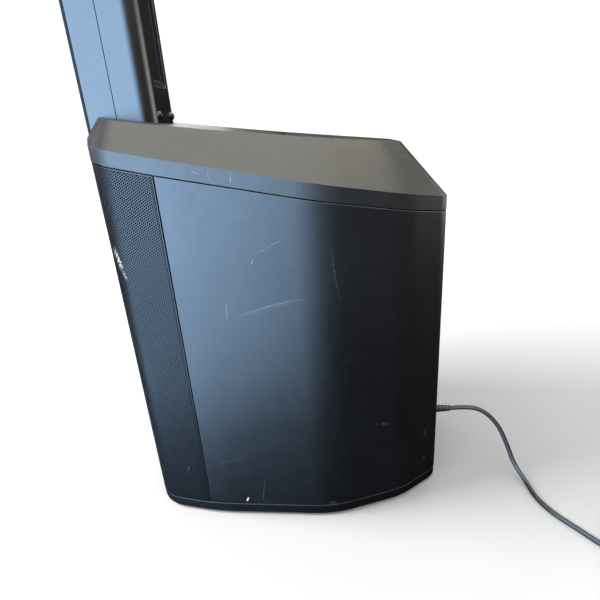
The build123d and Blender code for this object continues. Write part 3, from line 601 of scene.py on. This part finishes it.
def perforated(name, node, wrap, low, top, pitch, hole, thick, rim, parts):
    """A sheet with a close-packed pattern of six-sided holes, cut into parts along its outline."""
    column = pitch * sqrt(3) / 2
    reach = int((wrap.half - rim) / column)
    cell = pitch / sqrt(3)                              # corner radius of one six-sided cell
    corners = [(cell * cos(radians(60 * k)), cell * sin(radians(60 * k))) for k in range(6)]
    cells = []
    for i in range(-reach, reach + 1):
        u = i * column
        ceiling = float(top(wrap.at(u, 0.0)[..., 1])) - rim
        z = np.arange(low + rim + pitch * (0.5 + 0.5 * (i % 2)), ceiling, pitch)
        cells.append(np.stack([np.full(len(z), u), z], axis=1))
    cells = np.concatenate(cells)
    for part in range(parts):
        lower, upper = (-wrap.half + 2 * wrap.half * k / parts for k in (part, part + 1))
        mine = cells[(cells[:, 0] >= lower) & (cells[:, 0] < upper)]
        outer = (mine[:, None, :] + np.array(corners)).reshape(-1, 2)
        keys, index = np.unique((outer / (pitch * 0.02)).round().astype(int), axis=0, return_inverse=True)
        index = index.reshape(-1, 6)
        first = np.zeros(len(keys), int)
        first[index.ravel()] = np.arange(len(outer))
        shared = outer[first]
        inner = (mine[:, None, :] + np.array(corners) * (hole / (2 * cell))).reshape(-1, 2)
        places = np.concatenate([
            wrap.at(shared[:, 0], shared[:, 1]), wrap.at(inner[:, 0], inner[:, 1]),
            wrap.at(inner[:, 0], inner[:, 1], thick),
        ])
        front = len(keys) + np.arange(len(inner)).reshape(-1, 6)
        back = front + len(inner)
        faces = []
        for k in range(6):
            n = (k + 1) % 6
            faces.append(np.stack([index[:, k], index[:, n], front[:, n], front[:, k]], axis=1))
            faces.append(np.stack([front[:, k], front[:, n], back[:, n], back[:, k]], axis=1))
        mesh = mesh_of(f"{name}_{part + 1}", places.tolist(), np.concatenate(faces).tolist())
        add_piece(f"{name}_{part + 1}", mesh, node, replaces=part == 0)


def hem(name, node, wrap, low, top, width, proud, thick):
    """The plain folded border of a perforated sheet."""
    samples = wrap.run[(wrap.run > width) & (wrap.run < 2 * wrap.half - width)] - wrap.half
    left, right = [-wrap.half, -wrap.half + width], [wrap.half - width, wrap.half]
    us = np.unique(np.concatenate([left, samples, right]).round(6))
    tops = np.array([float(top(wrap.at(u, 0.0)[..., 1])) for u in us])
    levels = [np.full(len(us), low), np.full(len(us), low + width), tops - width, tops]
    grid = [[wrap.at(us, level, depth) for level in levels] for depth in (-proud, thick)]
    count = len(us)
    places = np.concatenate([grid[s][l] for s in (0, 1) for l in range(4)])

    def index(side, level, i):
        return (side * 4 + level) * count + i
    faces = []
    for i in range(count - 1):
        bands = [0, 1, 2] if i in (0, count - 2) else [0, 2]
        for band in bands:
            for side in (0, 1):
                quad = [index(side, band, i), index(side, band, i + 1),
                        index(side, band + 1, i + 1), index(side, band + 1, i)]
                faces.append(quad if side == 0 else quad[::-1])
        for level in ([0, 3] if i in (0, count - 2) else [0, 1, 2, 3]):
            faces.append([index(0, level, i), index(1, level, i),
                          index(1, level, i + 1), index(0, level, i + 1)])
    for i, levels_here in ((0, (0, 1, 2)), (1, (1,)), (count - 2, (1,)), (count - 1, (0, 1, 2))):
        for band in levels_here:
            faces.append([index(0, band, i), index(0, band + 1, i),
                          index(1, band + 1, i), index(1, band, i)])
    made = bmesh.new()
    made.from_mesh(mesh_of(name, places.tolist(), faces))
    bmesh.ops.recalc_face_normals(made, faces=made.faces)
    mesh = bpy.data.meshes.new(name)
    made.to_mesh(mesh)
    made.free()
    return add_piece(name, mesh, node, replaces=False)


def slope_of(node):
    """Height of a node's sloping top edge as a function of y."""
    places = np.array([v.co for v in frame["nodes"][node].data.vertices])
    upper = places[places[:, 2] > places[:, 2].min() + 10 * MM]
    front, rear = upper[upper[:, 1].argmin()], upper[upper[:, 1].argmax()]
    fall = (front[2] - rear[2]) / (rear[1] - front[1]) if rear[1] > front[1] else 0.0
    return lambda y: front[2] - fall * (y - front[1])


GRILLE_PITCH, GRILLE_HOLE = 2.95 * MM, 2.42 * MM
ARRAY_PITCH, ARRAY_HOLE = 4.4 * MM, 3.4 * MM
GRILLE_THICK, GRILLE_RIM, ARRAY_RIM = 1.2 * MM, 1.0 * MM, 4.0 * MM
HEM_THICK = 1.4 * MM


def make_grilles():
    path, low = front_path("front_grille")
    wrap, top = Wrap(path), slope_of("front_grille")
    perforated("front_grille_mesh", "front_grille", wrap, low, top,
               GRILLE_PITCH, GRILLE_HOLE, GRILLE_THICK, GRILLE_RIM, 4)
    hem("front_grille_hem", "front_grille", wrap, low, top, 1.1 * MM, 0.05 * MM, HEM_THICK)
    path, low = front_path("array_grille")
    wrap, top = Wrap(path), slope_of("array_grille")
    perforated("array_grille_mesh", "array_grille", wrap, low, top,
               ARRAY_PITCH, ARRAY_HOLE, GRILLE_THICK, ARRAY_RIM, 2)
    hem("array_grille_hem", "array_grille", wrap, low, top, 5 * MM, 0.15 * MM, HEM_THICK)


# ---------------------------------------------------------------- softened CAD shells
SOFTENED = {                        # bevel widths in millimetres
    "base_plinth": 0.9, "rubber_feet": 0.8, "cabinet_shell": 0.7, "top_cap": 0.8, "handle_bar": 0.4,
    "rear_panel": 0.25, "display_window": 0.3, "combo_inputs": 0.35, "link_output": 0.35, "line_jacks": 0.3,
    "heat_sink": 0.3, "ac_inlet": 0.4, "rocker_frame": 0.4, "power_rocker": 0.5, "panel_screws": 0.3,
    "spacer_rear_shell": 0.6, "spacer_front_shell": 0.5, "spacer_strip": 0.5, "spacer_foot": 0.6,
    "array_rear_shell": 0.6, "array_foot": 0.6, "array_end_cap": 0.9, "button_back": 0.5, "button_mute": 0.5,
    "menu_knob": 0.3, "coil_tie": 0.4, "mains_plug": 0.6, "wall_plug": 0.6, "spacer_screws": 0.2,
    **{f"channel_knob_{i}": 0.3 for i in range(1, 5)},
}


def soften_shells():
    for node, width in SOFTENED.items():
        piece = softened(node, width * MM)
        if node == "spacer_strip":
            piece.data.materials[0] = MATERIALS["strip_matt"]


# ---------------------------------------------------------------- small details on the rear panel and plug
PANEL_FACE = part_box("rear_panel")[1][1]
PRINT_LIFT = 0.04 * MM              # ink stands this far off the panel
CORE_DEPTH = 17.9 * MM              # foot of a socket's core, behind the panel's face
RIM_SINK = 0.02 * MM                # rims and screws sit this deep in the flange


def lathe_piece(name, node, profile, centre, axis=(0, 1, 0), slot=None, steps=32):
    """Solid of revolution from (radius, distance along the axis) points, closed on itself."""
    turn = Vector((0, 0, 1)).rotation_difference(Vector(axis)).to_matrix()
    angles = [2 * pi * k / steps for k in range(steps)]
    places = [tuple(Vector(centre) + turn @ Vector((r * cos(a), r * sin(a), d)))
              for r, d in profile for a in angles]
    count, faces = len(profile), []
    for i in range(count):
        for k in range(steps):
            n, j = (k + 1) % steps, (i + 1) % count
            faces.append((i * steps + k, i * steps + n, j * steps + n, j * steps + k))
    made = bmesh.new()
    made.from_mesh(mesh_of(name, places, faces))
    bmesh.ops.recalc_face_normals(made, faces=made.faces)
    mesh = bpy.data.meshes.new(name)
    made.to_mesh(mesh)
    made.free()
    return even_normals(add_piece(name, mesh, node, slot=slot, replaces=False))


def flat_marks(name, quads, text=()):
    """Prints (x, z, half width, half height, lean) bars and (sign, x, z, size) figures on the panel."""
    vertices, faces = [], []
    for x, z, half_x, half_z, lean in quads:
        base = len(vertices)
        for sx, sz in ((-1, -1), (1, -1), (1, 1), (-1, 1)):
            dx, dz = sx * half_x, sz * half_z
            vertices.append((x + dx * cos(lean) - dz * sin(lean), PANEL_FACE + PRINT_LIFT,
                             z + dx * sin(lean) + dz * cos(lean)))
        faces.append((base, base + 3, base + 2, base + 1))
    for digit, x, z, size in text:
        curve = bpy.data.curves.new("figure", "FONT")
        curve.body, curve.size, curve.align_x, curve.align_y = digit, size, "CENTER", "CENTER"
        figure = bpy.data.objects.new("figure", curve)
        shape = bpy.data.meshes.new_from_object(figure)
        base = len(vertices)
        vertices += [(x - v.co.x, PANEL_FACE + PRINT_LIFT, z + v.co.y) for v in shape.vertices]
        faces += [tuple(base + i for i in p.vertices) for p in shape.polygons]
        bpy.data.objects.remove(figure)
    piece = add_piece(name, mesh_of(name, vertices, faces), "rear_panel", replaces=False)
    piece.data.materials[0] = MATERIALS["print"]


def middle_of(node):
    low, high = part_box(node)
    return [(a + b) / 2 for a, b in zip(low, high)]


def make_print():
    """Ticks and figures round the knobs, I and O at the rocker, and short rules."""
    bars, figures = [], []
    for i in range(4):
        x, _, z = middle_of(f"channel_knob_{i + 1}")
        for k in range(11):
            angle = radians(-60 + 30 * k)
            bars.append((x + 11.2 * MM * cos(angle), z + 11.2 * MM * sin(angle), 0.9 * MM, 0.22 * MM, angle))
        figures.append((str(i + 1), x + 11.5 * MM, z - 19 * MM, 5 * MM))
        bars.append((x, z - 23.5 * MM, 11 * MM, 0.2 * MM, 0.0))
    x, _, z = middle_of("menu_knob")
    bars += [(x, z + s * 15.5 * MM, 5 * MM, 0.25 * MM, 0.0) for s in (-1, 1)]
    for node in ("button_back", "button_mute"):
        x, _, z = middle_of(node)
        bars.append((x, z - 6 * MM, 4 * MM, 0.25 * MM, 0.0))
    x, _, z = middle_of("power_rocker")
    figures += [("I", x, z + 15.5 * MM, 5 * MM), ("O", x, z - 15.5 * MM, 5 * MM)]
    low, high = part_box("line_jacks")
    bars += [((low[0] + high[0]) / 2, high[2] + 3 * MM, 20 * MM, 0.2 * MM, 0.0)]
    flat_marks("rear_panel_print", bars, figures)


def in_millimetres(*profile):
    return [(radius * MM, height * MM) for radius, height in profile]


CORE = in_millimetres((3.4, 0), (6.0, 0), (6.0, 5.6), (5.6, 6), (3.8, 6), (3.4, 5.6))
CONTACT = in_millimetres((0.7, 0), (1.2, 0), (1.2, 5), (0.7, 5))
RIM = in_millimetres((11.4, 0), (12.1, 0), (12.1, 0.35), (11.8, 0.6), (11.4, 0.35))
SCREW_HEAD = in_millimetres((0.02, 0), (1.9, 0), (1.7, 0.6), (0.8, 0.9), (0.8, 0.4), (0.02, 0.4))


def make_socket_details():
    """Jack cores, contact tubes, rims and flange screws of the combination sockets."""
    low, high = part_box("combo_inputs")
    z = (low[2] + high[2]) / 2
    foot, flange = PANEL_FACE - CORE_DEPTH, high[1] - RIM_SINK
    for i in range(4):
        x = middle_of(f"channel_knob_{i + 1}")[0]
        lathe_piece(f"combo_core_{i + 1}", "combo_inputs", CORE, (x, foot, z))
        for k in range(3):
            angle = radians(90 + 120 * k)
            place = (x + 8.6 * MM * cos(angle), foot, z + 8.6 * MM * sin(angle))
            lathe_piece(f"combo_contact_{i + 1}_{k + 1}", "combo_inputs", CONTACT, place,
                        slot="contact_brass", steps=12)
        lathe_piece(f"combo_rim_{i + 1}", "combo_inputs", RIM, (x, flange, z), steps=48)
        for side, sx, sz in (("a", -1, 1), ("b", 1, -1)):
            place = (x + sx * 10 * MM, flange, z + sz * 12.9 * MM)
            lathe_piece(f"combo_screw_{i + 1}_{side}", "combo_inputs", SCREW_HEAD, place, slot="screw_steel",
                        steps=16)


PLUG_RIBS = 6


def make_plug_ribs():
    """Rings of the tapered strain relief where the lead leaves its connector."""
    end = Vector(LEAD_ROUTE[0])
    low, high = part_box("mains_plug")
    inner = Vector(((low[0] + high[0]) / 2, high[1] - 29 * MM, end[2] - 2.5 * MM))
    axis = (end - inner).normalized()
    for k in range(PLUG_RIBS):
        share = (k + 0.5) / PLUG_RIBS
        r = (6.2 - 2.0 * share) * MM
        deep, proud = r - 0.6 * MM, r + 0.35 * MM
        ring = [(deep, -0.9 * MM), (proud, -0.6 * MM), (proud, 0.6 * MM), (deep, 0.9 * MM)]
        lathe_piece(f"plug_rib_{k + 1}", "mains_plug", ring, inner + (end - inner) * share, axis, steps=24)


def finish_inner_nodes():
    """Nodes that keep their CAD mesh get their detailed material."""
    for node, piece in frame["nodes"].items():
        if not piece.hide_render:
            piece.data.materials[0] = MATERIALS[SLOT_OF[node]]


def declare_lead():
    LEAD_PIECE.data.materials.append(MATERIALS["lead_pvc"])
    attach(LEAD_PIECE, BODY_OF["mains_lead"])
    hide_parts("mains_lead", "lead_coil")
    pieces = ["mains_plug_moulding", "wall_plug_moulding", "coil_tie_moulding"]
    pieces += [f"plug_rib_{k + 1}" for k in range(PLUG_RIBS)]


# ---------------------------------------------------------------- stage
# Painted light and shade: the floor is coloured darker near the object, where the lamps are strong, and paler
# far off, where they fall off, so that it renders evenly pale.
FLOOR_NEAR_SHADED, FLOOR_FAR_LIT = (0.57, 0.57, 0.57), (0.92, 0.92, 0.92)
FLOOR_PAINTED_FADE = (0.4, 1.9)             # painted light and shade: the floor's colour brightens between these distances from the origin, making up for the lamps falling off far away


def make_floor():
    size = 14.0
    corners = [(-size, -size, 0), (size, -size, 0), (size, size, 0), (-size, size, 0)]
    mesh = mesh_of("floor", corners, [(0, 1, 2, 3)])
    floor = bpy.data.objects.new("floor", mesh)
    bpy.context.scene.collection.objects.link(floor)
    finish = Finish("floor_pale", FLOOR_NEAR_SHADED, 0.9, Specular_IOR_Level=0.0)
    away = finish.node("ShaderNodeVectorMath", operation="LENGTH")
    finish.plug(finish.place, away.inputs[0])
    # painted light and shade: darker floor colour near the object, paler colour far away, standing in for how
    # the lamps fall off
    finish.tint(finish.span(away.outputs["Value"], *FLOOR_PAINTED_FADE), FLOOR_FAR_LIT)
    mesh.materials.append(finish.material)
    floor.visible_glossy = False


ROOM_LOW, ROOM_HIGH, ROOM_TONE, BACKDROP = 0.0, 0.42, (1.0, 0.86, 0.84, 1.0), 1.12
ROOM_HEIGHTS, ROOM_SIDES = (-0.5, 0.1), (-0.7, 0.4)      # of a direction's Z and X, where the room brightens
ROOM_FAR_SIDE = 0.07


def make_world():
    """White backdrop that also lights the floor; for reflections, a dim warm room that is darker below."""
    world = bpy.data.worlds.new("studio")
    bpy.context.scene.world = world
    world.use_nodes = True
    world.cycles.sampling_method = "NONE"
    tree = world.node_tree
    background = tree.nodes["Background"]
    place = tree.nodes.new("ShaderNodeTexCoord")
    split = tree.nodes.new("ShaderNodeSeparateXYZ")
    tree.links.new(place.outputs["Generated"], split.inputs[0])
    height = tree.nodes.new("ShaderNodeMapRange")
    tree.links.new(split.outputs[2], height.inputs[0])
    for socket, value in zip(list(height.inputs)[1:5], (*ROOM_HEIGHTS, ROOM_LOW, ROOM_HIGH)):
        socket.default_value = value
    side = tree.nodes.new("ShaderNodeMapRange")                 # the room is darker towards -X
    tree.links.new(split.outputs[0], side.inputs[0])
    for socket, value in zip(list(side.inputs)[1:5], (*ROOM_SIDES, ROOM_FAR_SIDE, 1.0)):
        socket.default_value = value
    room = tree.nodes.new("ShaderNodeMath")
    room.operation = "MULTIPLY"
    tree.links.new(height.outputs[0], room.inputs[0])
    tree.links.new(side.outputs[0], room.inputs[1])
    seen = tree.nodes.new("ShaderNodeLightPath")
    level = tree.nodes.new("ShaderNodeMix")
    tree.links.new(seen.outputs["Is Glossy Ray"], level.inputs[0])
    tree.links.new(room.outputs[0], level.inputs[3])
    level.inputs[2].default_value = BACKDROP
    tree.links.new(level.outputs[0], background.inputs["Strength"])
    tone = tree.nodes.new("ShaderNodeMix")
    tone.data_type = "RGBA"
    tree.links.new(seen.outputs["Is Glossy Ray"], tone.inputs[0])
    tone.inputs[6].default_value, tone.inputs[7].default_value = (1, 1, 1, 1), ROOM_TONE
    tree.links.new(tone.outputs[2], background.inputs["Color"])


def softbox(name, place, target, width, height, colour, radiance, fills=True, mirrors=True):
    """Area light facing target. With fills off it shows in reflections only, with mirrors off it doesn't."""
    data = bpy.data.lights.new(name, "AREA")
    data.shape, data.size, data.size_y = "RECTANGLE", width, height
    data.color, data.energy = colour, radiance * width * height * pi
    light = bpy.data.objects.new(name, data)
    light.location = place
    light.rotation_euler = (Vector(target) - Vector(place)).to_track_quat("-Z", "Y").to_euler()
    light.visible_camera = False
    light.visible_diffuse, light.visible_glossy = fills, mirrors
    bpy.context.scene.collection.objects.link(light)


BLUE, WARM, NEUTRAL, WHITE = (0.43, 0.675, 1.0), (1.0, 0.965, 0.82), (1.0, 0.98, 0.96), (1.0, 1.0, 1.0)
SIDE_PANEL = (0.15, 0.0, 0.42)      # where the side windows aim


def make_lights():
    softbox("window", (1.15, -0.75, 0.85), (0.15, -0.05, 0.42), 1.5, 1.5, BLUE, 17.6, fills=False)
    softbox("window_edge", (1.74, 0.10, 0.80), SIDE_PANEL, 0.55, 1.5, BLUE, 7.0, fills=False)
    softbox("window_floor", (0.62, -0.55, 0.12), (0.12, -0.15, 0.42), 1.0, 0.6, BLUE, 12.0, fills=False)
    softbox("floor_edge", (1.06, 0.0, 0.15), SIDE_PANEL, 0.42, 0.6, BLUE, 5.0, fills=False)
    softbox("ceiling", (-0.2, 0.6, 3.2), (-0.2, 0.6, 0), 4.5, 4.6, WARM, 6.6, fills=False)
    softbox("shade", (0.4, -2.4, 1.9), (0, 0, 0.3), 1.3, 1.3, WHITE, 27.0, mirrors=False)
    softbox("rear", (-1.0, 2.4, 0.75), (0, 0.2, 0.4), 1.6, 1.4, NEUTRAL, 5.0, fills=False)
    softbox("left", (-2.4, -1.2, 1.3), (0, 0, 0.6), 1.2, 1.8, NEUTRAL, 3.0, fills=False)
    softbox("front", (-0.5, -3.0, 1.6), (0, 0, 0.9), 1.4, 2.0, NEUTRAL, 3.0, fills=False)


make_grilles()
soften_shells()
make_print()
make_socket_details()
make_plug_ribs()
finish_inner_nodes()
declare_lead()
make_floor()
make_world()
make_lights()
bpy.context.scene.view_settings.view_transform = "Standard"
